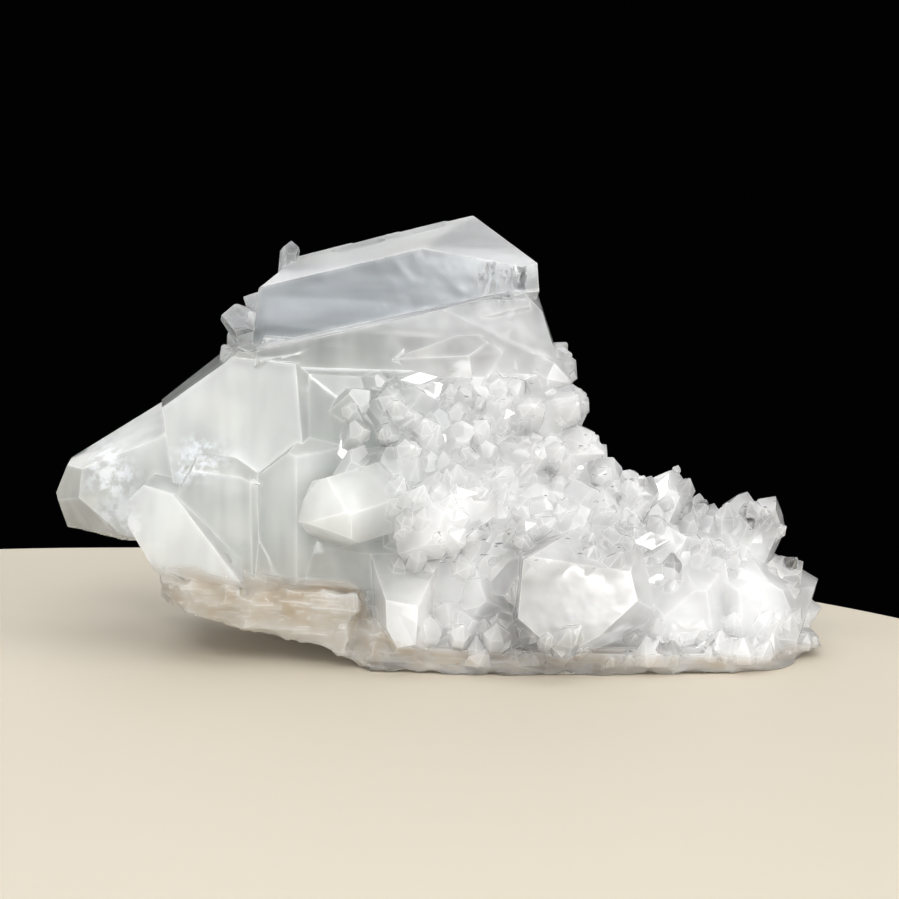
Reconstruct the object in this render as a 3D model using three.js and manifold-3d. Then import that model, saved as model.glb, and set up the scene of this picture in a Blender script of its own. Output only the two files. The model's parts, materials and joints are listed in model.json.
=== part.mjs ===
// A quartz cluster: large prisms lying on a broken foot of massive quartz, with small points between them.
// Millimetres, +Z up. The origin is on the resting face, under the middle of the cluster.
import * as THREE from "three";
import { ConvexGeometry } from "three/addons/geometries/ConvexGeometry.js";
import { mergeVertices } from "three/addons/utils/BufferGeometryUtils.js";
import Module from "manifold-3d";

const wasm = await Module();
wasm.setup();

// Quartz grows six prism sides and six end faces. An end face's normal leans this far from the long axis.
const SIDES = 6;
const END_LEAN = THREE.MathUtils.degToRad(51.8);

// How far the end faces stand back from the tip, as shares of the width: three large faces and three small.
const SMALL_END_BACK = [0.05, 0.35];
const LARGE_END_BACK = [-0.15, 0.08];

// A long axis steeper than this takes its roll from the front; a flatter one takes it from the top.
const UPRIGHT = 0.8;

// Small points in a bed: how far off the middle of its cell one may root, how deep it is rooted, as a
// share of its width, how far its roll strays, in degrees, and how much narrower its second and third
// pairs of sides may be.
const CELL_ROOM = [0.15, 0.85];
const ROOTED = 1.6;
const ROLL_STRAY = 14;
const SECOND_GIRTH = [0.75, 1];
const THIRD_GIRTH = [0.8, 1];

// Each hand-placed point is rolled by this much more than the one before, in degrees.
const ROLL_STEP = 222.48;

// The blocks that crystals are cut from, as multiples of the width, or of the farthest face's reach.
const BLOCK_WIDTH = 3;
const UNEVEN_BLOCK = 4;

// Vertices closer than the first are one vertex, and edges shorter than the second are closed up after
// the crystals are joined.
const SAME_PLACE = 1e-4;
const FINEST_EDGE = 0.05;

// Where the random runs start. The multiples keep runs with neighbouring numbers from being alike.
const CRYSTAL_SEED = { first: 11, step: 7919 };
const BED_SEED_STEP = 1009;
const LEDGE_SEED_STEP = 4001;

// Crystals whose faces are all different. Each face is [azimuth, elevation, reach]: the way it looks,
// in degrees, and how far it stands from the middle of the crystal.
const unevenCrystals = {
  crown: {
    middle: [-5.9, 4, 56.2],
    faces: [
      [-97, 17, 6.1], [-130, 68, 6.4], [-86, 56, 8.1], [-72, 18, 13.7], [23, 41, 15.7], [7, 1, 20.6],
      [-65, -62, 7.8], [90, -75, 7.7], [83, -5, 10.6], [-175, 8, 22.1], [128, 70, 8.3], [163, 39, 15.5],
    ],
  },
  crownShoulder: {
    middle: [2, -3, 48.7],
    faces: [
      [-93, 12, 6.1], [-172, 77, 5.4], [-80, 36, 6.9], [-5, 47, 13.2], [0, 18, 15], [-62, 28, 13.6],
      [-95, -50, 7.9], [-178, 5, 30], [90, 0, 9],
    ],
  },
  westShoulder: {
    middle: [-32.2, 5, 31.2],
    faces: [
      [-103, 9, 14], [179, 54, 11.8], [150, 35, 13.5], [-175, -8, 10.6], [-35, 10, 19], [80, 5, 11],
      [-80, 80, 16.9], [-165, -45, 20.5], [-100, -78, 22],
    ],
  },
  westPrism: {
    middle: [-49, 5, 24.7],
    faces: [
      [-105, 5, 8.7], [-155, 62, 7], [-150, 8, 9.8], [-140, -35, 9.4], [-125, -78, 8.7], [150, 49, 8.2],
      [178, 24, 10], [-175, -15, 11.9], [85, 10, 9.4], [60, -50, 9], [15, 0, 7],
    ],
  },
  frontBlade: {
    middle: [-40.9, -9, 18.5],
    faces: [
      [-112, 8, 5.3], [-26, 44, 6.6], [-45, 79, 7.9], [175, 45, 9], [-175, -31, 5.3], [-179, 0, 7.2],
      [-144, -68, 6.6], [70, 0, 7.7], [20, -20, 8.6],
    ],
  },
  frontColumn: {
    middle: [-33.9, -8, 22.3],
    faces: [
      [-92, 6, 5.9], [-82, 56, 8.3], [-175, 30, 7.4], [-40, 5, 7.8], [-52, 54, 8.7], [0, 2, 6.4],
      [90, 0, 6], [80, 50, 5.6], [-170, 0, 6.9], [-110, -60, 12],
    ],
  },
  greenColumn: {
    middle: [-21.5, -7, 22.1],
    faces: [
      [-115, 4, 8], [-63, 4, 7.7], [-175, 50, 9.2], [-75, 62, 12.2], [-175, 0, 6.7], [5, 0, 7],
      [90, 0, 6], [-90, -60, 14.1],
    ],
  },
  shard: {
    middle: [-4.9, -22, 7.7],
    faces: [
      [-110, 10, 5], [-165, 1, 3.8], [-162, -23, 3.8], [-75, -65, 5], [-20, 0, 3.8], [-100, 60, 5.4],
      [90, 0, 6],
    ],
  },
  frontFace: {
    middle: [21.8, -20.5, 10.6],
    faces: [
      [-75, 22, 6.6], [-159, -45, 9.4], [-40, -48, 7.9], [-177, 7, 9.9], [-41, -24, 8.5], [-20, 20, 9.5],
      [-178, 71, 10], [-60, 60, 7.6], [100, 0, 10.9],
    ],
  },
  eastFace: {
    middle: [37.4, -14.4, 8],
    faces: [
      [-80, 20, 7.4], [-150, 8, 6.4], [-125, 52, 5.4], [-30, 15, 7.2], [-75, 64, 6.4], [-60, -42, 8.2],
      [-130, -38, 8.6], [90, 0, 9],
    ],
  },
  eastEnd: {
    middle: [49, -11, 7],
    faces: [
      [-75, 20, 7], [-135, 12, 7.2], [-28, 26, 7.4], [-20, 58, 6.6], [-95, 66, 6.8], [-10, -15, 8.4],
      [-80, -40, 8.4], [90, 0, 9],
    ],
  },
};

// Regular crystals, from a point deep in the cluster to the tip that shows. girth is the distance across
// each of the three pairs of sides, roll turns the crystal about its long axis, in degrees.
const largeCrystals = {
  backWest: { foot: [-26, 4, 22], tip: [-41, 24, 35], girth: [14, 15, 15], roll: 20 },
  backMiddle: { foot: [-4, 6, 22], tip: [-9, 30, 38], girth: [13, 12, 13], roll: 5 },
  backEast: { foot: [22, 4, 8.5], tip: [33, 27, 22], girth: [12, 12, 11], roll: 30 },
  backHigh: { foot: [2, 2, 40], tip: [8, 21, 48], girth: [8, 9, 9], roll: 12 },
  nested: { foot: [-6, -6, 45.5], tip: [11.4, -10.5, 47], girth: [6, 6.5, 6.5], roll: 45 },
  frontPoint: { foot: [0, -9, 27], tip: [-22.5, -22.5, 22.5], girth: [11, 11.5, 10], roll: 15 },
  midPoint: { foot: [10, -8, 28], tip: [-9, -26, 18], girth: [11, 12, 10], roll: 40 },
};

// Small points that stand by themselves: [foot, tip, width].
const points = [
  [[9.8, 0, 44], [22.5, -3, 46.2], 6],
  [[10.6, -4, 33.5], [24, -4.5, 40.8], 7.5],
  [[13.5, -6, 28], [23.8, -5, 35.2], 6],
  [[19, -7, 23.5], [27.2, -5.5, 33.2], 5.2],
  [[21, -8, 19], [29.8, -5.5, 27.6], 5.5],
  [[27.5, -12, 18], [34, -9.5, 29], 4.6],
  [[32.5, -8, 17], [38.2, -4.5, 29.3], 6],
  [[45.5, -5, 12], [49.3, -2.5, 25.3], 6],
  [[43.5, -3, 14], [46, -1.5, 22.5], 3.6],
  [[48, -7, 12], [54, -4.5, 24.8], 5.6],
  [[47, -8, 5], [57.8, -7.5, 15.2], 6.2],
  [[48, -8, 3], [61, -7.5, 7.4], 5.4],
  [[38, -4, 19], [38.8, -3, 24.8], 2.8],
  [[40, -5, 18], [41.2, -4, 24.4], 2.6],
  [[42, -5, 17], [43.6, -4, 23], 2.8],
  [[39, -7, 18], [40.4, -7.5, 22.6], 3],
  [[50, -10, 2], [60.2, -11, 1.6], 3.4],
  [[-27, 3, 49], [-34.6, -2.5, 52.2], 5],
  [[-25, 5, 51], [-31, 2.5, 55], 3.4],
  [[-24.2, 8, 53], [-23.2, 8, 63.4], 2.7],
  [[-31, 5, 43], [-34.6, 2, 47], 3.2],
  [[-29, 4, 45], [-33.2, 1, 49.4], 3.2],
  [[-27, 0, 44], [-31.5, -5, 48], 3],
];

// Beds of small points. Each bed is a four-cornered patch, with one point in each cell of its grid.
// toward is the way the points lean, spread how much they differ, stands how far a tip is from the patch.
// looks is the azimuth and elevation that one end face of each point is turned to, within ROLL_STRAY.
const beds = {
  underCrown: {
    patch: [[-9, -9, 45], [18, -10, 45], [25, -7, 33], [-10, -14, 34]], grid: [6, 3], looks: [-85, 55],
    toward: [0.35, -0.8, 0.5], spread: 0.28, width: [5, 10], stands: [0.5, 4], seed: 11,
  },
  middle: {
    patch: [[-6, -15, 34], [24, -9, 31], [32, -17, 17], [-2, -20, 17]], grid: [6, 4], looks: [-80, 55],
    toward: [0.45, -0.75, 0.5], spread: 0.25, width: [6, 13], stands: [1, 5.5], seed: 23,
  },
  eastSlope: {
    patch: [[27, -10, 26], [47, -7, 16], [50, -13, 9], [36, -18, 14]], grid: [5, 3], looks: [-70, 50],
    toward: [0.45, -0.65, 0.6], spread: 0.25, width: [6, 12], stands: [1, 5], seed: 37,
  },
  fineUpper: {
    patch: [[-14, -10, 44], [18, -11, 44], [29, -11, 28], [-14, -16, 31]], grid: [8, 4], looks: [-85, 55],
    toward: [0.35, -0.75, 0.55], spread: 0.5, width: [2.2, 4.6], stands: [1, 4], seed: 101,
  },
  fineLower: {
    patch: [[10, -17, 28], [48, -9, 16], [50, -13, 12], [12, -21, 17]], grid: [8, 3], looks: [-70, 55],
    toward: [0.45, -0.7, 0.6], spread: 0.5, width: [2.4, 4.8], stands: [1, 4], seed: 103,
  },
  frontFoot: {
    patch: [[-6, -21, 13], [14, -23, 13], [12, -25, 4], [-5, -23, 5]], grid: [4, 2], looks: [-85, 50],
    toward: [-0.1, -0.9, 0.1], spread: 0.5, width: [5, 9], stands: [2, 4], seed: 53,
  },
  backUpper: {
    patch: [[-30, 14, 44], [12, 11, 44], [20, 15, 28], [-34, 17, 28]], grid: [8, 3], looks: [90, 50],
    toward: [0.1, 0.85, 0.4], spread: 0.45, width: [5, 8], stands: [3, 6], seed: 61,
  },
  backLower: {
    patch: [[-30, 17, 24], [26, 15, 24], [32, 19, 8], [-26, 19, 10]], grid: [7, 3], looks: [90, 50],
    toward: [0.1, 0.9, 0.2], spread: 0.45, width: [6, 10], stands: [3, 6], seed: 71,
  },
  backEastSlope: {
    patch: [[24, 8, 27], [50, 5, 13], [54, 7, 3], [32, 19, 6]], grid: [5, 3], looks: [80, 50],
    toward: [0.4, 0.6, 0.6], spread: 0.4, width: [6, 9], stands: [3, 5.5], seed: 83,
  },
  crest: {
    patch: [[22, -4, 26.5], [50, -4, 15], [50, 4, 14], [22, 7, 26]], grid: [7, 2], looks: [-60, 50],
    toward: [0.4, 0, 0.9], spread: 0.3, width: [4, 6], stands: [1.5, 3], seed: 97,
  },
};

// Ledges of the broken foot: thin plates with ragged outlines. slope turns a plate about X and Y, in
// degrees, and halves are half its length and half its depth.
const ledges = [
  { place: [-27, -3, 5.2], slope: [0, 15], halves: [17, 16], thick: 2, seed: 5 },
  { place: [-27.5, -4, 8.6], slope: [2, 15], halves: [16, 15], thick: 1.8, seed: 6 },
  { place: [21.5, -3.5, -0.6], slope: [0, 0], halves: [34, 22.5], thick: 1.5, seed: 7 },
  { place: [22.5, -3.5, 1.9], slope: [0, 1], halves: [34, 22], thick: 1.4, seed: 8 },
];

// Corners in a ledge's outline, and how far each is broken in or out, as a share of its distance from
// the middle.
const LEDGE_CORNERS = 26;
const LEDGE_RAGGED = 0.045;

// Random numbers from 0 to 1, the same in every run, by the Lehmer generator.
function seeded(seed) {
  const multiplier = 16807;
  const modulus = 2147483647;
  let state = seed;
  return () => {
    state = (state * multiplier) % modulus;
    return state / modulus;
  };
}

function between(random, [low, high]) {
  return low + (high - low) * random();
}

// A closed three.js geometry as a solid that can be joined and cut.
function solidOf(geometry) {
  const bare = geometry.clone();
  bare.deleteAttribute("normal");
  bare.deleteAttribute("uv");
  const merged = mergeVertices(bare, SAME_PLACE);
  return new wasm.Manifold(
    new wasm.Mesh({
      numProp: 3,
      vertProperties: merged.attributes.position.array,
      triVerts: new Uint32Array(merged.index.array),
    }),
  );
}

// Cuts away what lies on the side a plane looks to.
function cutOff(solid, plane) {
  return solid.trimByPlane(plane.normal.clone().negate().toArray(), plane.constant);
}

// The unit vector that looks to an azimuth and an elevation, in degrees.
function looking(azimuth, elevation) {
  const polar = THREE.MathUtils.degToRad(90 - elevation);
  const turn = THREE.MathUtils.degToRad(azimuth);
  return new THREE.Vector3(
    Math.sin(polar) * Math.cos(turn),
    Math.sin(polar) * Math.sin(turn),
    Math.cos(polar),
  );
}

function unevenCrystal({ middle, faces }) {
  const centre = new THREE.Vector3(...middle);
  const across = UNEVEN_BLOCK * Math.max(...faces.map(([, , reach]) => reach));
  let solid = solidOf(new THREE.BoxGeometry(across, across, across).translate(...middle));
  for (const [azimuth, elevation, reach] of faces) {
    const normal = looking(azimuth, elevation);
    const plane = new THREE.Plane(normal, -normal.dot(centre) - reach);
    solid = cutOff(solid, plane);
  }
  return solid;
}

// The two axes across a crystal's long axis: where its roll starts, and a quarter turn on.
function acrossAxes(axis) {
  const reference = Math.abs(axis.z) > UPRIGHT ? looking(-90, 0) : looking(0, 90);
  const rollZero = reference.addScaledVector(axis, -reference.dot(axis)).normalize();
  return [rollZero, new THREE.Vector3().crossVectors(axis, rollZero)];
}

// A place on a four-cornered patch: along runs from its first corner to its second, down to its fourth.
function placeOn(patch, along, down) {
  const [first, second, third, fourth] = patch.map((corner) => new THREE.Vector3(...corner));
  return first.lerp(second, along).lerp(fourth.lerp(third, along), down);
}

// The roll, in degrees, that turns an end face of a crystal as far towards a direction as it goes.
function rollTo(axis, direction) {
  const [rollZero, quarterTurn] = acrossAxes(axis);
  const turn = Math.atan2(direction.dot(quarterTurn), direction.dot(rollZero));
  return THREE.MathUtils.radToDeg(turn);
}

function bedOf({ patch, grid: [columns, rows], looks, toward, spread, width, stands, seed }) {
  const random = seeded(seed * BED_SEED_STEP);
  const grown = [];
  for (let cell = 0; cell < columns * rows; cell += 1) {
    const along = ((cell % columns) + between(random, CELL_ROOM)) / columns;
    const down = (Math.floor(cell / columns) + between(random, CELL_ROOM)) / rows;
    const root = placeOn(patch, along, down);
    const stray = new THREE.Vector3(random() - 0.5, random() - 0.5, random() - 0.5);
    const lean = new THREE.Vector3(...toward).addScaledVector(stray, 2 * spread).normalize();
    const across = between(random, width);
    const foot = root.clone().addScaledVector(lean, -ROOTED * across);
    const tip = root.clone().addScaledVector(lean, between(random, stands));
    const girth = [
      across,
      across * between(random, SECOND_GIRTH),
      across * between(random, THIRD_GIRTH),
    ];
    const roll = rollTo(lean, looking(...looks)) + ROLL_STRAY * (2 * random() - 1);
    grown.push(crystal({ foot: foot.toArray(), tip: tip.toArray(), girth, roll }));
  }
  return grown;
}

let crystalCount = 0;

// One crystal: a block from foot to tip, cut by its prism sides and end faces.
function crystal({ foot, tip, girth, roll }) {
  crystalCount += 1;
  const random = seeded(crystalCount * CRYSTAL_SEED.step + CRYSTAL_SEED.first);
  const start = new THREE.Vector3(...foot);
  const axis = new THREE.Vector3(...tip).sub(start);
  const length = axis.length();
  axis.normalize();
  const [rollZero, quarterTurn] = acrossAxes(axis);
  const width = Math.max(...girth);
  const place = new THREE.Matrix4().makeBasis(rollZero, quarterTurn, axis).setPosition(start);
  const block = new THREE.BoxGeometry(BLOCK_WIDTH * width, BLOCK_WIDTH * width, length + width)
    .translate(0, 0, (length + width) / 2)
    .applyMatrix4(place);
  let solid = solidOf(block);
  for (let side = 0; side < SIDES; side += 1) {
    const turn = THREE.MathUtils.degToRad(roll) + (side * 2 * Math.PI) / SIDES;
    const outward = new THREE.Vector3(Math.cos(turn), Math.sin(turn), 0);
    const prismSide = new THREE.Plane(outward.clone(), -girth[side % 3] / 2);
    solid = cutOff(solid, prismSide.applyMatrix4(place));
    const range = side % 2 ? SMALL_END_BACK : LARGE_END_BACK;
    const standsBack = between(random, range) * width;
    const slope = outward.clone().multiplyScalar(Math.sin(END_LEAN)).setZ(Math.cos(END_LEAN));
    const end = new THREE.Plane(slope, -Math.cos(END_LEAN) * (length - standsBack));
    solid = cutOff(solid, end.applyMatrix4(place));
  }
  return solid;
}

// A lump of massive quartz, from its corners.
function lump(corners) {
  return solidOf(new ConvexGeometry(corners.map((corner) => new THREE.Vector3(...corner))));
}

// The massive quartz the crystals grow from. It is widest near the floor on the right and hangs over
// on the left.
const core = [
  lump([
    [-38, -6, 24], [-38, 13, 26], [-27, -5, 49], [-27, 12, 49], [12, -6, 46], [13, 8, 46],
    [-37, -9, 13], [-34, 14, 13], [-28, -15, 12], [6, -16, 24], [-26, 17, 24], [12, 16, 26],
    [-16, -18, 7], [8, -20, 10], [-14, 18, 7], [20, 16, 8], [19, -6, 36], [19, 8, 34],
  ]),
  lump([
    [-17, -17, 4], [-11, -23, -1], [10, -24, -1], [46, -22, -1], [54, -16, -1], [54, 9, -1], [30, 20, -1],
    [-8, 19, -1], [-8, -21, 10], [28, -20, 9], [46, -15, 8], [14, -15, 27], [22, -7, 30],
    [22, 11, 26], [34, -7, 22], [34, 9, 19], [50, -5, 13], [50, 6, 11], [58, -8, 3], [56, 4, 3],
    [24, 17, 12],
  ]),
  lump([
    [-43.8, -8, 10.6], [-43.5, -7, 9.2], [-40, -13, 8.1], [-38.3, -14, 6.8], [-33, -16, 6.3],
    [-25, -17.5, 5.4], [-17.7, -19.5, 4], [-14, -22, 2], [-38, -12.5, 12], [-27, -17, 12],
    [-12, -22.5, 11.5], [-42, 8, 13], [-36, 15, 8], [-16, 20, 3], [-10, 18, 10],
  ]),
  lump([
    [-11, -24.5, -1], [-13, -21, 3], [10, -27.5, -1], [8, -24, 4], [46, -26, -1], [43, -23, 3.5],
    [55, -18, -1], [53, -15, 4], [60, -8, 2], [57, -8, 5], [56, 6, -1], [54, 5, 4], [32, 20, -1],
    [30, 17, 4], [-8, 18, -1], [-12, 17, 4],
  ]),
];

// A thin plate with a rounded rectangular outline whose corners are broken in and out. The square root
// squares up the circle that the corners start on.
function ledge({ place, slope, halves, thick, seed }) {
  const random = seeded(seed * LEDGE_SEED_STEP);
  const corners = [];
  const squared = (value) => Math.sign(value) * Math.sqrt(Math.abs(value));
  for (let corner = 0; corner < LEDGE_CORNERS; corner += 1) {
    const turn = (corner * 2 * Math.PI) / LEDGE_CORNERS;
    const ragged = 1 + LEDGE_RAGGED * (2 * random() - 1);
    const along = squared(Math.cos(turn)) * halves[0];
    const deep = squared(Math.sin(turn)) * halves[1];
    corners.push(new THREE.Vector2(along, deep).multiplyScalar(ragged));
  }
  const plate = new THREE.ExtrudeGeometry(new THREE.Shape(corners), { depth: thick, bevelEnabled: false })
    .rotateX(THREE.MathUtils.degToRad(slope[0]))
    .rotateY(THREE.MathUtils.degToRad(slope[1]))
    .translate(...place);
  return solidOf(plate);
}

const crystals = Object.values(largeCrystals).map(crystal);
crystals.push(...Object.values(unevenCrystals).map(unevenCrystal));
for (const [foot, tip, width] of points) {
  crystals.push(crystal({ foot, tip, girth: [width, width, width], roll: ROLL_STEP * crystals.length }));
}
for (const bed of Object.values(beds)) {
  crystals.push(...bedOf(bed));
}
let cluster = wasm.Manifold.union([...core, ...ledges.map(ledge), ...crystals]);
cluster = cutOff(cluster, new THREE.Plane(looking(0, -90), 0));
cluster = cluster.simplify(FINEST_EDGE);

// The outer surface alone, so that a hollow closed in between crystals is filled.
cluster = cluster.decompose().reduce((widest, part) => (part.volume() > widest.volume() ? part : widest));

// The joined solid as a three.js geometry, moved so that the origin is under its middle, on the floor.
function geometryOf(solid) {
  const joined = solid.getMesh();
  const geometry = new THREE.BufferGeometry()
    .setAttribute("position", new THREE.BufferAttribute(joined.vertProperties, 3))
    .setIndex(new THREE.BufferAttribute(joined.triVerts, 1));
  geometry.computeBoundingBox();
  const middle = geometry.boundingBox.getCenter(new THREE.Vector3());
  return geometry.translate(-middle.x, -middle.y, -geometry.boundingBox.min.z);
}

const quartz = new THREE.MeshStandardMaterial({
  name: "milky_quartz",
  color: 0xe6e9ec,
  roughness: 0.12,
  metalness: 0,
});

const mesh = new THREE.Mesh(geometryOf(cluster), quartz);
mesh.name = "quartz_cluster";

const group = new THREE.Group();
group.add(mesh);
export default group;
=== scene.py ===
import bpy, json, math, random
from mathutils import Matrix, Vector
from mathutils.bvhtree import BVHTree

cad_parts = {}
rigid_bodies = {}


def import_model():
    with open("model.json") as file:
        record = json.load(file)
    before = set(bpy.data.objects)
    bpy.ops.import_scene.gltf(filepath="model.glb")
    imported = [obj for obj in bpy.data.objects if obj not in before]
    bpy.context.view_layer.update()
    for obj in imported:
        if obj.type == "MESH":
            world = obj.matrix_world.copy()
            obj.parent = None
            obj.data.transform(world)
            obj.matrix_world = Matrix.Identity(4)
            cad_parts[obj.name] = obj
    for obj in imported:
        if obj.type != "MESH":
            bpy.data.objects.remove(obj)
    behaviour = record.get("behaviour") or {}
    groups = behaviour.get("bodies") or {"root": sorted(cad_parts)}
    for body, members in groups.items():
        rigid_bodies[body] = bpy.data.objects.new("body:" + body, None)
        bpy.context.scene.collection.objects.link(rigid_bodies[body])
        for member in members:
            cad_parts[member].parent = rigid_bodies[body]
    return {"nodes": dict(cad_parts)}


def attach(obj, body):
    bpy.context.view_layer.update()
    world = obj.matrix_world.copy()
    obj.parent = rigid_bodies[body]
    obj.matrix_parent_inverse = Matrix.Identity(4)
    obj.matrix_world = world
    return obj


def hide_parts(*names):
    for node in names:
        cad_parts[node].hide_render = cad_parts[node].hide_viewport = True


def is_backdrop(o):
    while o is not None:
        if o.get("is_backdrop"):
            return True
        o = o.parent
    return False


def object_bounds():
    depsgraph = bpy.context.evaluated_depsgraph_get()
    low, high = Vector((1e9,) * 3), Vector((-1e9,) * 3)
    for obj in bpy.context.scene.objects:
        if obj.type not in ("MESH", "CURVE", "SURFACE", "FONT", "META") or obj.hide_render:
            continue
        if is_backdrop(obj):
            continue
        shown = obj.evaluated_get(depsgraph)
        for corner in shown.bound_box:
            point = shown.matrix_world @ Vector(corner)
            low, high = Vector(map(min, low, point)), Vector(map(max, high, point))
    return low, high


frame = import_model()
cadLow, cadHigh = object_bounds()
print("frame loaded")

mm = 0.001


def linearColour(hexText):
    parts = [int(hexText[i:i + 2], 16) / 255 for i in (1, 3, 5)]
    return [p / 12.92 if p <= 0.04045 else ((p + 0.055) / 1.055) ** 2.4 for p in parts] + [1.0]


def selectOnly(*pieces):
    bpy.ops.object.select_all(action="DESELECT")
    for piece in pieces:
        piece.select_set(True)
    bpy.context.view_layer.objects.active = pieces[0]


def ownCopy(source, name, collection):
    piece = source.copy()
    piece.data = source.data.copy()
    piece.name = name
    piece.data.materials.clear()
    collection.objects.link(piece)
    return piece


def moveTo(collection, piece):
    for old in piece.users_collection:
        old.objects.unlink(piece)
    collection.objects.link(piece)


def addModifier(piece, kind, settings):
    modifier = piece.modifiers.new(kind.lower(), kind)
    for name, value in settings.items():
        setattr(modifier, name, value)
    selectOnly(piece)
    bpy.ops.object.modifier_apply(modifier=modifier.name)


def combine(piece, operation, other, kind="object"):
    addModifier(piece, "BOOLEAN", {"operation": operation, "solver": "MANIFOLD",
                                   "operand_type": kind.upper(), kind: other})


def blockAt(name, middle, size, lean=0):
    bpy.ops.object.select_all(action="DESELECT")
    bpy.ops.mesh.primitive_cube_add(size=1, location=middle, rotation=(0, math.radians(lean), 0))
    block = bpy.context.active_object
    block.name = name
    block.scale = size
    bpy.ops.object.transform_apply()
    return block


def weighVertices(piece, group, weightAt):
    weights = piece.vertex_groups.new(name=group)
    for vertex in piece.data.vertices:
        weights.add([vertex.index], weightAt(vertex.co), "REPLACE")


def smoothStep(low, high, value):
    share = min(max((value - low) / (high - low), 0), 1)
    return share * share * (3 - 2 * share)


# the crystals, as the solid has them
mergeDistance = 0.0001 * mm
cluster = ownCopy(frame["nodes"]["quartz_cluster"], "quartz_crystals", bpy.context.collection)
selectOnly(cluster)
bpy.ops.object.mode_set(mode="EDIT")
bpy.ops.mesh.select_all(action="SELECT")
bpy.ops.mesh.remove_doubles(threshold=mergeDistance)
bpy.ops.object.mode_set(mode="OBJECT")
print("crystals:", len(cluster.data.polygons), "faces")

# the broken foot: the same quartz where it was torn off the rock, rough and stepped
foot = {
    # the rock is made from what lies below the cut, and cut by blocks that reach past the cluster
    "cutHeight": 18 * mm, "block": (200 * mm, 200 * mm, 100 * mm),
    "voxel": 0.6 * mm,
    # how deep it hides in the crystals above its border
    "sink": 1.3 * mm,
    # how strongly and how often it is smoothed
    "worn": 0.5, "wornTurns": 3,
    # height, size and the level that stays where it is
    "lumps": (1.2 * mm, 4.5 * mm, 0.35),
    "chips": (0.7 * mm, 1.5 * mm, 0.4),
    "ledges": 1.5 * mm, "ledgeLong": 11 * mm, "ledgeHigh": 1.7 * mm, "ledgeLean": 9,
    # x and height in mm of the line that the rock is torn below, and half the width of its border
    "topAt": [(-48, 14.2), (-30, 13.2), (-12, 12.2), (-10, 7.5), (-3, 3.6), (8, 3.4), (34, 3.4),
              (40, 2.6), (62, 2.2)],
    "edge": 0.9,
    # middle, size and lean of what is taken off the crystals before the torn rock takes its place
    "taken": [((-42, 0, -36.9), (60, 90, 100), 3.2), ((28, 0, -48.6), (78, 90, 100), 0)],
}


def footTop(x):
    points = foot["topAt"]
    for (x0, z0), (x1, z1) in zip(points, points[1:]):
        if x <= x1:
            return z0 + (z1 - z0) * max(0, (x - x0) / (x1 - x0))
    return points[-1][1]


def brokenAt(place):
    top = footTop(place.x / mm)
    return 1 - smoothStep(top - foot["edge"], top + foot["edge"], place.z / mm)


rough = ownCopy(cluster, "broken_foot", bpy.context.collection)
blockHeight = foot["block"][2]
upper = blockAt("upper_block", (0, 0, foot["cutHeight"] + blockHeight / 2), foot["block"])
combine(rough, "DIFFERENCE", upper)
addModifier(rough, "REMESH", {"mode": "VOXEL", "voxel_size": foot["voxel"]})
weighVertices(rough, "broken", brokenAt)
weighVertices(rough, "whole", lambda place: 1 - brokenAt(place))
addModifier(rough, "DISPLACE", {"strength": -foot["sink"], "mid_level": 0, "vertex_group": "whole"})
addModifier(rough, "SMOOTH", {"factor": foot["worn"], "iterations": foot["wornTurns"],
                              "vertex_group": "broken"})
for kind, texture in (("lumps", "VORONOI"), ("chips", "CLOUDS")):
    height, size, level = foot[kind]
    bumps = bpy.data.textures.new("foot_" + kind, texture)
    bumps.noise_scale = size
    addModifier(rough, "DISPLACE", {"strength": height, "mid_level": level, "texture": bumps,
                                    "texture_coords": "LOCAL", "vertex_group": "broken"})
# the ledges follow an empty that is long across and low, and leans
bpy.ops.object.select_all(action="DESELECT")
bpy.ops.object.empty_add(rotation=(0, math.radians(foot["ledgeLean"]), 0))
ledgeFrame = bpy.context.active_object
ledgeFrame.scale = (foot["ledgeLong"], foot["ledgeLong"], foot["ledgeHigh"])
bpy.context.view_layer.update()
ledges = bpy.data.textures.new("foot_ledges", "VORONOI")
ledges.noise_scale = 1
ledges.distance_metric = "DISTANCE_SQUARED"
addModifier(rough, "DISPLACE", {"strength": foot["ledges"], "mid_level": 0.5, "texture": ledges,
                                "texture_coords": "OBJECT", "texture_coords_object": ledgeFrame,
                                "vertex_group": "broken"})
bpy.data.objects.remove(ledgeFrame)
print("broken foot:", len(rough.data.polygons), "faces")

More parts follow.
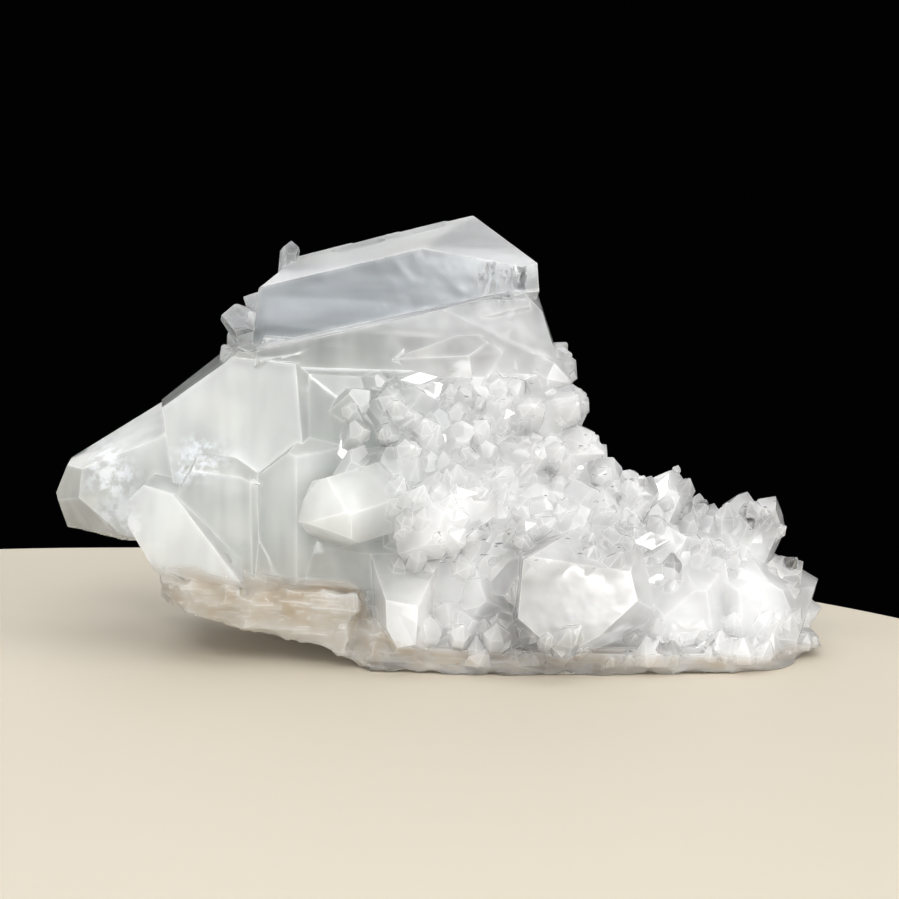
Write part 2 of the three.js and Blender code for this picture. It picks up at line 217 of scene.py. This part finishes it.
# young points, modelled once and grown out of the old faces
druse = {
    "radius": 1 * mm, "prism": 1.6 * mm, "point": 1.0 * mm, "tip": 0.14,
    "stretch": (0.7, 1.2), "girth": (0.75, 1.0),
    # how far their lean strays, and how much they follow the face they stand on
    "stray": 0.5, "upright": 0.7,
    "seed": 21, "tries": 6,
    # count, size, how deep they sit, the side they are sown from, lowest and highest corner in mm,
    # how they lean
    "fields": [
        (54, (0.8, 2.3), 0.9, "front", (-8, -80, 26), (33, 0, 42), (0.25, -0.5, 0.7)),
        (32, (0.8, 2.1), 0.9, "front", (22, -80, 16), (60, 0, 34), (0.4, -0.4, 0.8)),
        (30, (0.8, 1.7), 0.95, "top", (18, -20, 8), (60, 25, 80), (0.4, 0.0, 0.9)),
        (50, (0.6, 1.6), 0.8, "back", (-20, 0, 12), (58, 80, 44), (0.2, 0.7, 0.6)),
        (40, (0.8, 2.0), 0.75, "front", (-6, -80, 15), (14, 0, 28), (0.5, -0.2, 0.7)),
        # stout ones stacked on the slope under the crown
        (16, (2.2, 3.6), 1.15, "front", (19, -80, 32), (34, 20, 50), (0.75, -0.25, 0.45)),
        # stout and small ones along the rim, where the cluster spreads over its foot
        (24, (1.1, 2.2), 1.4, "front", (0, -80, 0.8), (61, 10, 7), (0.5, -0.6, 0.6)),
        (22, (0.9, 1.9), 1.2, "front", (6, -80, 0.8), (34, 10, 5), (0.4, -0.5, 0.7)),
        (90, (1.0, 2.3), 0.8, "top", (-2, -30, 1), (61, -10, 7), (0.3, -0.25, 0.9)),
        (16, (1.6, 3.0), 1.45, "back", (-20, 0, 0.8), (58, 80, 7), (0.1, 0.9, 0.5)),
    ],
}


def hexagonPoint(name, radius, prism, point, tip):
    bpy.ops.object.select_all(action="DESELECT")
    bpy.ops.mesh.primitive_cylinder_add(vertices=6, radius=radius, depth=prism, location=(0, 0, prism / 2))
    piece = bpy.context.active_object
    piece.name = name
    bpy.ops.object.transform_apply()
    bpy.ops.object.mode_set(mode="EDIT")
    bpy.ops.mesh.select_all(action="DESELECT")
    bpy.ops.object.mode_set(mode="OBJECT")
    for face in piece.data.polygons:
        face.select = face.normal.z > 0.9  # the end face
    bpy.ops.object.mode_set(mode="EDIT")
    bpy.ops.mesh.select_mode(type="FACE")
    bpy.ops.mesh.extrude_region_move(TRANSFORM_OT_translate={"value": (0, 0, point)})
    bpy.ops.transform.resize(value=(tip, tip, 1))
    bpy.ops.object.mode_set(mode="OBJECT")
    return piece


def turnTo(piece, direction, turn):
    piece.rotation_euler = direction.to_track_quat("Z", "Y").to_euler()
    piece.rotation_euler.rotate_axis("Z", turn)


youngPoint = hexagonPoint("young_point", druse["radius"], druse["prism"], druse["point"], druse["tip"])
surface = BVHTree.FromObject(cluster, bpy.context.evaluated_depsgraph_get())
chance = random.Random(druse["seed"])
# where the rays to the surface start, outside the cluster: axis, place and way, and how far they go
ways = {
    "front": (1, -80 * mm, Vector((0, 1, 0))),
    "back": (1, 80 * mm, Vector((0, -1, 0))),
    "top": (2, 100 * mm, Vector((0, 0, -1))),
}
rayLength = 300 * mm
growth = bpy.data.collections.new("young_points")
bpy.context.scene.collection.children.link(growth)
for count, sizes, depth, side, lowest, highest, lean in druse["fields"]:
    placed = 0
    outside, far, way = ways[side]
    for attempt in range(count * druse["tries"]):
        start = Vector([chance.uniform(a, b) * mm for a, b in zip(lowest, highest)])
        start[outside] = far
        hit, normal, index, distance = surface.ray_cast(start, way, rayLength)
        inside = hit and all(a * mm <= c <= b * mm for a, c, b in zip(lowest, hit, highest))
        if not inside:
            continue
        stray = Vector([chance.uniform(-1, 1) for axis in range(3)]) * druse["stray"]
        axis = (normal * druse["upright"] + Vector(lean) + stray).normalized()
        size = chance.uniform(*sizes)
        stretch = chance.uniform(*druse["stretch"])
        piece = ownCopy(youngPoint, "young_point", growth)
        piece.scale = (size, size * chance.uniform(*druse["girth"]), size * stretch)
        turnTo(piece, axis, chance.uniform(0, math.pi))
        piece.location = hit - axis * druse["prism"] * size * stretch * depth
        placed += 1
        if placed == count:
            break

# slender crystals lying in the cluster: a sill along the foot of the crown, steps on its ridge, and
# blunt ends at its right
lying = {
    "tip": 0.35,
    # from and to in mm, radius and point in mm, turn in degrees
    "crystals": [
        ((-27, -4.4, 45.6), (9, -4.0, 53.0), 2.6, 6.0, 30),
        ((-21.5, 9.3, 58.95), (-13.0, 9.0, 61.15), 1.3, 3.0, 0),
        ((-15.5, 8.7, 60.3), (-5.5, 8.5, 62.95), 1.5, 3.5, 20),
        ((-7.5, 8.3, 62.3), (1.8, 7.9, 64.65), 1.4, 3.5, 0),
        ((-22, 5.0, 57.2), (-11, 4.6, 60.1), 1.2, 5.0, 10),
        ((6, -5, 43.5), (19.5, -5, 44.8), 2.9, 2.2, 15),
        ((8, -7, 38), (21.5, -7, 38.8), 3.2, 2.5, 0),
    ],
}
for start, end, radius, point, turn in lying["crystals"]:
    along = (Vector(end) - Vector(start)) * mm
    piece = hexagonPoint("lying_crystal", radius * mm, along.length, point * mm, lying["tip"])
    turnTo(piece, along, math.radians(turn))
    piece.location = Vector(start) * mm
    moveTo(growth, piece)

# flat faces that flash: turned half way between the eye and a lamp
flash = {
    "lamp": Vector((-120, -620, 420)) * mm, "eye": Vector((0, -590, 130)) * mm,
    # thickness and how far they stand out, as shares of the size
    "thick": 1.1, "proud": 0.17,
    # how far their calm surface reaches, as a multiple of the larger half
    "calm": 2.2,
    # x, z, corners, half width and half height in mm, turn in degrees
    "faces": [
        (-1.3, 41.2, 5, 3.0, 1.7, 10), (-2.2, 43.2, 4, 3.0, 0.9, 5), (-6.0, 41.4, 4, 1.3, 0.8, 0),
        (0.4, 33.5, 3, 2.8, 2.2, -60), (2.0, 38.9, 3, 1.1, 1.0, 20), (8.6, 39.9, 3, 1.4, 1.2, 0),
        (11.6, 38.0, 3, 1.1, 0.8, 30), (-14.0, 32.0, 4, 1.1, 1.8, 15), (4.0, 27.0, 4, 2.8, 0.8, 0),
        (35.2, 25.4, 4, 1.2, 3.0, -25), (33.5, 18.8, 4, 2.8, 1.4, 5), (34.6, 13.0, 4, 2.0, 0.9, 10),
        (41.7, 3.6, 3, 2.4, 1.4, 10), (-38.5, 28.6, 3, 1.2, 0.9, 0), (-28.0, 27.5, 3, 1.3, 0.6, 0),
        (14.5, 22.0, 3, 1.2, 0.8, 40), (22.0, 30.0, 4, 1.4, 0.6, -20),
    ],
}
outside, far, way = ways["front"]
for x, z, corners, halfWidth, halfHeight, turn in flash["faces"]:
    hit, normal, index, distance = surface.ray_cast(Vector((x * mm, far, z * mm)), way, rayLength)
    if not hit:
        continue
    facing = ((flash["lamp"] - hit).normalized() + (flash["eye"] - hit).normalized()).normalized()
    size = (halfWidth + halfHeight) * mm
    bpy.ops.object.select_all(action="DESELECT")
    bpy.ops.mesh.primitive_cylinder_add(vertices=corners, radius=1, depth=1)
    piece = bpy.context.active_object
    piece.name = "flash_face"
    piece.scale = (halfWidth * mm, halfHeight * mm, flash["thick"] * size)
    turnTo(piece, facing, math.radians(turn))
    piece.location = hit + facing * (flash["proud"] - flash["thick"] / 2) * size
    moveTo(growth, piece)
selectOnly(*growth.objects)
bpy.ops.object.transform_apply()
bpy.data.objects.remove(youngPoint)

combine(cluster, "UNION", growth, "collection")
for middle, size, lean in foot["taken"]:
    lower = blockAt("lower_block", Vector(middle) * mm, Vector(size) * mm, lean)
    combine(cluster, "DIFFERENCE", lower)
    bpy.data.objects.remove(lower)
combine(cluster, "UNION", rough)
ground = blockAt("ground_block", (0, 0, -blockHeight / 2), foot["block"])
combine(cluster, "DIFFERENCE", ground)
for tool in (rough, upper, ground, *growth.objects):
    bpy.data.objects.remove(tool)
bpy.data.collections.remove(growth)
print("joined:", len(cluster.data.polygons), "faces")

# cut through on a grid, so that the clearness below can change along a face
cutStep = 2.4 * mm
smoothBelow = 13  # degrees between faces, so only the worn rock is smooth and the crystals stay sharp
selectOnly(cluster)
low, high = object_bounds()
for axis in range(3):
    place = low[axis] + cutStep / 2
    while place < high[axis]:
        bpy.ops.object.mode_set(mode="EDIT")
        bpy.ops.mesh.select_all(action="SELECT")
        bpy.ops.mesh.bisect(plane_co=[place if n == axis else 0 for n in range(3)],
                            plane_no=[1 if n == axis else 0 for n in range(3)])
        bpy.ops.object.mode_set(mode="OBJECT")
        place += cutStep
bpy.ops.object.shade_smooth_by_angle(angle=math.radians(smoothBelow))
print("cut up:", len(cluster.data.polygons), "faces")

# how clear the quartz is: thin points are clear, the thick middle is clouded
clear = {
    "thin": 3 * mm, "thick": 12 * mm,
    # rays into the quartz from each corner: how many, where they start, how far they stray and reach,
    # and how often the result is evened out with its neighbours
    "rays": 7, "start": 0.02 * mm, "spread": 0.9, "reach": 50 * mm, "blur": 8,
    # x, z and radius in mm of the spots that are like glass, clear with threads, clouded, and feathered
    "glassy": [(-31, 50, 6), (-21, 60, 5), (22, 56, 8), (30, 38, 6), (42, 27, 7), (51, 23, 8), (57, 14, 8),
               (-52, 25, 10)],
    "window": [(10.6, 58.3, 4.6)],
    "cloudy": [(-17, 25, 13)],
    "feather": [(-51, 27, 5.5), (-49.5, 20.5, 4.5), (-36, 31, 4), (-39, 29.5, 3)],
    # share of the radius inside which a spot is full
    "full": 0.4,
}
surface = BVHTree.FromObject(cluster, bpy.context.evaluated_depsgraph_get())
thinness = []
for vertex in cluster.data.vertices:
    inward = -vertex.normal
    start = vertex.co + inward * clear["start"]
    depths = []
    for ray in range(clear["rays"]):
        stray = Vector([chance.uniform(-1, 1) for axis in range(3)]) * clear["spread"]
        hit, normal, index, distance = surface.ray_cast(start, (inward + stray).normalized(), clear["reach"])
        depths.append(distance if hit else clear["reach"])
    thinness.append(1 - smoothStep(clear["thin"], clear["thick"], sum(depths) / len(depths)))
for turn in range(clear["blur"]):
    sums = list(thinness)
    counts = [1] * len(thinness)
    for edge in cluster.data.edges:
        a, b = edge.vertices
        sums[a] += thinness[b]
        sums[b] += thinness[a]
        counts[a] += 1
        counts[b] += 1
    thinness = [total / number for total, number in zip(sums, counts)]


def nearSpots(place, spots):
    most = 0
    for x, z, radius in spots:
        away = math.hypot(place.x / mm - x, place.z / mm - z)
        most = max(most, 1 - smoothStep(radius * clear["full"], radius, away))
    return most


clear["flashing"] = [(x, z, flash["calm"] * max(halfWidth, halfHeight))
                     for x, z, corners, halfWidth, halfHeight, turn in flash["faces"]]
places = [vertex.co for vertex in cluster.data.vertices]
layers = {"thin": thinness, "torn": [brokenAt(place) for place in places]}
for name in ("glassy", "window", "cloudy", "feather", "flashing"):
    layers[name] = [nearSpots(place, clear[name]) for place in places]
for name, amounts in layers.items():
    layer = cluster.data.attributes.new(name, "FLOAT", "POINT")
    layer.data.foreach_set("value", amounts)
print("clearness set")

# milky quartz whose faces grew freely in a cleft: glossy flats with small hillocks over a clouded depth.
# Light sinks in and comes out soft, and a glow along its edges is painted into its colour; only thin points,
# the crown and a few windows let the dark behind them show
quartzLook = {
    # the glow colour is a painted glow near the edges; the worn colour whitens the edges, partly as wear and
    # partly as a painted highlight
    "milky": "#f4f5f6", "greenish": "#dfe2e0", "bluish": "#dde4ea", "stained": "#bfab90",
    "fleck": "#4c5054", "feather": "#f0f5ff", "paintedGlow": "#f6f7f7", "worn": "#fafafa",
    "ior": 1.544, "scatter": 16 * mm,
    # share of light that goes through: in the columns, in the crown, how far the veils change it,
    # and its limits
    "through": 0.52, "crownThrough": 0.76, "veiled": 0.1, "least": 0.05, "most": 0.98,
    # roughness: flashing and thin faces, grown faces, torn rock, and what an etched face has more
    "smooth": 0.05, "grown": 0.15, "tornRough": 0.55, "etchedAndPaintedLight": 0.2,
    # how far from an edge it is worn white and painted with a highlight, and how far its painted glow
    # reaches
    "edge": 0.25 * mm, "beside": 1.3 * mm,
    # rise of the crown along x, and the way its broad front face looks
    "crownRise": 0.2056, "crownFront": (-0.117, -0.949, 0.292),
    # how far apart the clear points are told, and the small facets where the points crowd, with their tilt
    "cells": 3.333 * mm, "facets": 2.326 * mm, "facetTilt": 0.5,
    # relief of the grown faces as a share of the torn rock's, what a flashing face has less, and the whole
    "hillocks": 0.14, "calmer": 0.12, "relief": 0.3 * mm, "reliefShown": 0.7,
    # the parts of the cluster: the axis each is told by, where it begins and where it is full, in mm
    "extents": {
        "crown": ("slant", 52.9, 54.1),
        "left": ("x", 4, -14),
        "rightHalf": ("x", -12, 0),
        "belowCrown": ("z", 48, 41),
        "aboveColumns": ("z", 43, 48),
        "pastMiddle": ("x", 6, 11),
        "beforeEnd": ("x", 33, 28),
        "lowDown": ("z", 24, 17),
        "aboveRim": ("z", 12, 20),
    },
    # noises: size along x, y and z in mm, turn in degrees, detail, roughness, distortion
    "noises": {
        # veils of tiny bubbles, drawn out along the growth of the columns and of the crown
        "uprightVeil": ((6.667, 6.667, 31.25), 0, 2, 0.5, 0.3),
        "lyingVeil": ((33.33, 6.667, 6.667), 12, 2, 0.5, 0.3),
        "evenVeil": ((7.692, 7.692, 7.692), 0, 2, 0.5, 0.3),
        # bubble threads and specks, coarser than real ones so that they show
        "threads": ((0.6667, 0.6667, 2.381), 8, 2, 0.6, 0),
        "flecks": ((3.03, 1.111, 0.6667), -35, 1, 0.5, 0),
        "wornAndHighlitEdge": ((4.167, 4.167, 4.167), 0, 1, 0.5, 0),
        "grain": ((1.923, 1.923, 1.923), 0, 3, 0.6, 0),
        "strata": ((11.11, 11.11, 1.111), 14, 3, 0.6, 0),
        "hillocks": ((2.381, 2.381, 2.381), 0, 1, 0.5, 0),
    },
}
quartz = bpy.data.materials.new("milky_grown_quartz")
quartz.use_nodes = True
tree = quartz.node_tree
tree.nodes.clear()


def addNode(kind, settings, inputs):
    node = tree.nodes.new("ShaderNode" + kind)
    for name, value in settings.items():
        setattr(node, name, value)
    for name, value in inputs.items():
        if isinstance(value, bpy.types.Node):
            value = value.outputs[0]
        if isinstance(value, bpy.types.NodeSocket):
            tree.links.new(value, node.inputs[name])
        else:
            node.inputs[name].default_value = value
    return node


times, minus = {"operation": "MULTIPLY"}, {"operation": "SUBTRACT"}
timesPlus, dot = {"operation": "MULTIPLY_ADD"}, {"operation": "DOT_PRODUCT"}
smooth = {"interpolation_type": "SMOOTHSTEP"}

# at holds how much of each thing there is at a place, mostly from 0 to 1
coords = addNode("TexCoord", {}, {}).outputs["Object"]
flat = addNode("NewGeometry", {}, {}).outputs["Normal"]
axes = addNode("SeparateXYZ", {}, {"Vector": coords}).outputs
slant = addNode("Math", timesPlus, {0: axes["X"], 1: -quartzLook["crownRise"], 2: axes["Z"]})
along = {"x": axes["X"], "z": axes["Z"], "slant": slant}
at = {name: addNode("Attribute", {"attribute_name": name}, {}).outputs["Fac"] for name in layers}
noise = {}
for name, (sizes, turn, detail, roughness, distortion) in quartzLook["noises"].items():
    mapping = addNode("Mapping", {}, {"Vector": coords, "Rotation": (0, math.radians(turn), 0),
                                      "Scale": [1 / (size * mm) for size in sizes]})
    noise[name] = addNode("TexNoise", {}, {"Vector": mapping, "Scale": 1, "Detail": detail,
                                           "Roughness": roughness, "Distortion": distortion})
for name, (axis, begins, full) in quartzLook["extents"].items():
    at[name] = addNode("MapRange", smooth, {"Value": along[axis], "From Min": begins * mm,
                                            "From Max": full * mm})
at["notCrown"] = addNode("Math", minus, {0: 1, 1: at["crown"]})
at["left"] = addNode("Math", times, {0: at["left"], 1: at["notCrown"]})
field = addNode("Math", times, {0: at["rightHalf"], 1: at["belowCrown"]})
underCrown = addNode("Math", times, {0: at["aboveColumns"], 1: at["notCrown"]})
lowRight = addNode("Math", times, {0: at["pastMiddle"], 1: at["beforeEnd"]})
lowRight = addNode("Math", times, {0: lowRight, 1: at["lowDown"]})
veil = addNode("Mix", {"data_type": "FLOAT"}, {0: at["left"], 2: noise["evenVeil"], 3: noise["uprightVeil"]})
veil = addNode("Mix", {"data_type": "FLOAT"}, {0: at["crown"], 2: veil, 3: noise["lyingVeil"]})

# how near an edge is, by how far a rounded normal turns away from the face's own
near = {}
for name in ("edge", "beside"):
    rounded = addNode("Bevel", {"samples": 3}, {"Radius": quartzLook[name]})
    near[name] = addNode("VectorMath", dot, {0: rounded, 1: flat}).outputs["Value"]
fromFront = addNode("VectorMath", dot, {0: flat, 1: quartzLook["crownFront"]}).outputs["Value"]
cells = addNode("TexVoronoi", {}, {"Vector": coords, "Scale": 1 / quartzLook["cells"]}).outputs["Color"]
cellShare = addNode("SeparateColor", {}, {"Color": cells})

# what the marks on the quartz follow, from where to where, and what each is at either end
marks = {
    "paintedGlow": (near["beside"], 0.999, 0.95, 0, 1),
    "edge": (near["edge"], 0.995, 0.93, 0, 1),
    "wornAndHighlitEdge": (noise["wornAndHighlitEdge"], 0.4, 0.6, 0.25, 1),
    "offFront": (fromFront, 0.97, 0.92, 0, 1),
    "grain": (noise["grain"], 0.4, 0.6, 0, 1),
    "clearCells": (cellShare, 0.9, 0.92, 0, 1),
    "threads": (noise["threads"], 0.42, 0.56, 0, 1),
    "flecks": (noise["flecks"], 0.73, 0.75, 0, 1),
    "stains": (noise["evenVeil"], 0.35, 0.65, 0.5, 0.95),
    "crowds": (noise["evenVeil"], 0.4, 0.52, 0, 1),
    "thinner": (at["thin"], 0.1, 0.5, 0, 1),
    "veiled": (veil, 0.25, 0.75, quartzLook["through"] + quartzLook["veiled"],
               quartzLook["through"] - quartzLook["veiled"]),
    "etchedVeil": (veil, 0.32, 0.68, -0.1, -0.27),
    "crownEnd": (axes["X"], -24 * mm, 4 * mm, -0.07, 0.03),
}
for name, (follows, begins, full, least, most) in marks.items():
    at[name] = addNode("MapRange", smooth, {"Value": follows, "From Min": begins, "From Max": full,
                                            "To Min": least, "To Max": most})
worn = addNode("Math", times, {0: at["edge"], 1: at["wornAndHighlitEdge"]})  # edges of the crystals, rubbed white, and painted white as a highlight along them
etchedAndPaintedLight = addNode("Math", times, {0: at["offFront"], 1: at["crown"]})  # the crown's faces but the front one: etched, and painted lighter as if more light fell on them
feathers = addNode("Math", times, {0: at["feather"], 1: at["grain"]})  # healed cracks, bluish white
threads = addNode("Math", times, {0: at["threads"], 1: at["window"]})  # threads of bubbles in clear quartz
stain = addNode("Math", times, {0: at["torn"], 1: at["stains"]})
calm = addNode("Math", minus, {0: 1, 1: at["flashing"]})
crowd = field  # where the young points crowd, above the rim and off the flashing faces
for share in (at["aboveRim"], at["crowds"], calm):
    crowd = addNode("Math", times, {0: crowd, 1: share})
flecks = addNode("Math", times, {0: at["flecks"], 1: crowd})  # dark threads and specks shut in the quartz

# the share of light that goes through: the veils set it, and each of these adds so much to it
glassyThin = addNode("Math", timesPlus, {0: at["thin"], 1: 0.42, 2: 0.12})
clearPoint = addNode("Math", times, {0: at["thin"], 1: 0.6})
threadClear = addNode("Math", timesPlus, {0: etchedAndPaintedLight, 1: -0.3, 2: 0.35})
through = at["veiled"]
for share, amount in (
        (at["crown"], quartzLook["crownThrough"] - quartzLook["through"]),
        (field, -0.17),
        (at["thin"], -0.1),
        (underCrown, 0.14),
        (at["cloudy"], -0.2),
        (lowRight, 0.3),
        (etchedAndPaintedLight, at["etchedVeil"]),
        (feathers, -0.22),
        (at["glassy"], glassyThin),
        (at["crown"], at["crownEnd"]),
        (at["clearCells"], clearPoint),  # one young point in ten is as clear as glass
        (threads, threadClear)):
    through = addNode("Math", timesPlus, {0: share, 1: amount, 2: through})
# and each of these leaves no more than so much of it
for share, kept in ((at["torn"], 0.85), (at["paintedGlow"], 0.86), (worn, 0.55)):
    rest = addNode("MapRange", smooth, {"Value": share, "To Min": 1, "To Max": kept})
    through = addNode("Math", times, {0: through, 1: rest})
through = addNode("Clamp", {}, {"Value": through, "Min": quartzLook["least"], "Max": quartzLook["most"]})

# colours, each laid over the ones before it: where, how strongly, which
tint = linearColour(quartzLook["milky"])
for share, strength, colour in (
        # the crown's other faces are painted lighter than its front one, partly as etched frosting and
        # partly as painted light
        (at["left"], 1, "greenish"), (at["crown"], 1, "bluish"), (etchedAndPaintedLight, 0.6, "milky"),
        (feathers, 1, "feather"), (stain, 1, "stained"), (flecks, 0.85, "fleck"),
        # a painted glow near the edges, then edges painted white, partly as wear and partly as a painted
        # highlight
        (at["paintedGlow"], 0.25, "paintedGlow"), (worn, 0.8, "worn")):
    share = addNode("Math", times, {0: share, 1: strength})
    laid = addNode("Mix", {"data_type": "RGBA"}, {0: share, 6: tint, 7: linearColour(quartzLook[colour])})
    tint = laid.outputs[2]

# grown faces have low hillocks, and facets of their own where the young points crowd; the torn rock
# is layered
facets = addNode("TexVoronoi", {}, {"Vector": coords, "Scale": 1 / quartzLook["facets"]}).outputs["Color"]
facets = addNode("VectorMath", minus, {0: facets, 1: (0.5, 0.5, 0.5)})
tilt = addNode("Math", times, {0: crowd, 1: quartzLook["facetTilt"]})
facets = addNode("VectorMath", {"operation": "SCALE"}, {0: facets, "Scale": tilt})
facets = addNode("VectorMath", {"operation": "ADD"}, {0: flat, 1: facets})
facets = addNode("VectorMath", {"operation": "NORMALIZE"}, {0: facets})
hillocks = addNode("Math", timesPlus, {0: at["flashing"], 1: -quartzLook["calmer"],
                                       2: quartzLook["hillocks"]})
hillocks = addNode("Math", times, {0: noise["hillocks"], 1: hillocks})
height = addNode("Mix", {"data_type": "FLOAT"}, {0: at["torn"], 2: hillocks, 3: noise["strata"]})
relief = addNode("Bump", {}, {"Strength": quartzLook["reliefShown"], "Distance": quartzLook["relief"],
                              "Height": height, "Normal": facets})

# thin and flashing faces are the smoothest
shine = addNode("Math", {"operation": "MAXIMUM"}, {0: at["flashing"], 1: at["thinner"]})
roughness = addNode("MapRange", smooth, {"Value": shine, "To Min": quartzLook["grown"],
                                         "To Max": quartzLook["smooth"]})
roughness = addNode("Math", timesPlus, {0: etchedAndPaintedLight, 1: quartzLook["etchedAndPaintedLight"], 2: roughness})
roughness = addNode("Mix", {"data_type": "FLOAT"}, {0: at["torn"], 2: roughness, 3: quartzLook["tornRough"]})

shader = addNode("BsdfPrincipled", {}, {
    "Base Color": tint, "Transmission Weight": through, "Roughness": roughness, "Normal": relief,
    "IOR": quartzLook["ior"], "Subsurface Weight": 1,
    "Subsurface Scale": quartzLook["scatter"], "Subsurface Radius": (1, 1, 1),
})
addNode("OutputMaterial", {}, {"Surface": shader})
cluster.data.materials.clear()
cluster.data.materials.append(quartz)
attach(cluster, "root")
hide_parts("quartz_cluster")
print("quartz laid on")

# the floor, a matte painted board that takes a soft shadow and no gloss
floorLook = {
    "middle": (-55 * mm, -93 * mm, -0.1 * mm), "radius": 171 * mm, "corners": 256,
    "colour": "#c9c0af", "roughness": 0.6,
}
bpy.ops.object.select_all(action="DESELECT")
bpy.ops.mesh.primitive_circle_add(vertices=floorLook["corners"], radius=floorLook["radius"],
                                  fill_type="NGON", location=floorLook["middle"])
floor = bpy.context.active_object
floor.name = "studio_floor"
paint = bpy.data.materials.new("matte_painted_board")
paint.use_nodes = True
board = paint.node_tree.nodes["Principled BSDF"]
board.inputs["Base Color"].default_value = linearColour(floorLook["colour"])
board.inputs["Roughness"].default_value = floorLook["roughness"]
floor.data.materials.append(paint)
floor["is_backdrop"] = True

# lamps, all turned to the middle of the cluster: place and size in metres, power in watts
lit = Vector((0, 0, 30 * mm))
lamps = {
    "top_softbox": ((0.10, 0.12, 0.75), (1.1, 0.9), 4.4),
    "right_softbox": ((0.80, -0.35, 0.40), (0.6, 0.7), 4.2),
    "front_low_softbox": ((0.31, -0.95, 0.19), (0.70, 0.34), 4.1),
    "front_high_softbox": ((-0.08, -0.75, 0.72), (0.9, 0.45), 4.6),
    "front_left_softbox": ((-0.62, -0.78, 0.14), (0.5, 0.26), 1.9),
    "left_fill": ((-0.90, -0.35, 0.30), (0.7, 0.6), 2.4),
    "back_softbox": ((-0.25, 0.80, 0.50), (0.9, 0.5), 2.2),
    "flash_lamp": (flash["lamp"], (0.08, 0.08), 0.45),
    "spark_lamp_right": ((0.35, -0.45, 0.35), (0.06, 0.06), 0.28),
    "spark_lamp_left": ((-0.35, -0.30, 0.50), (0.06, 0.06), 0.28),
}
for name, (place, size, power) in lamps.items():
    light = bpy.data.lights.new(name, "AREA")
    light.shape = "RECTANGLE"
    light.size, light.size_y = size
    light.energy = power
    lamp = bpy.data.objects.new(name, light)
    bpy.context.collection.objects.link(lamp)
    lamp.location = place
    lamp.rotation_euler = (lit - Vector(place)).to_track_quat("-Z", "Y").to_euler()

# the room, dark all round
world = bpy.data.worlds.new("dark_studio")
bpy.context.scene.world = world
world.use_nodes = True
background = world.node_tree.nodes["Background"]
background.inputs["Color"].default_value = linearColour("#020203")
background.inputs["Strength"].default_value = 1

# camera, and how often light bounces
view = {
    "aim": (2.35 * mm, 1.505 * mm, 30.5 * mm), "distance": 600 * mm, "pitch": 9.5,
    "sensor": 36, "lens": 152.17,
}
pitch = math.radians(view["pitch"])
cameraData = bpy.data.cameras.new("camera")
cameraData.sensor_width = view["sensor"]
cameraData.lens = view["lens"]
camera = bpy.data.objects.new("camera", cameraData)
bpy.context.collection.objects.link(camera)
camera.location = Vector(view["aim"]) + view["distance"] * Vector((0, -math.cos(pitch), math.sin(pitch)))
camera.rotation_euler = (math.pi / 2 - pitch, 0, 0)
scene = bpy.context.scene
scene.camera = camera
scene.view_settings.view_transform = "Standard"
scene.cycles.max_bounces = 7
scene.cycles.diffuse_bounces = 2
scene.cycles.transmission_bounces = 6

low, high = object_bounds()
sizes = {"cad": [list(cadLow), list(cadHigh)], "visual": [list(low), list(high)]}
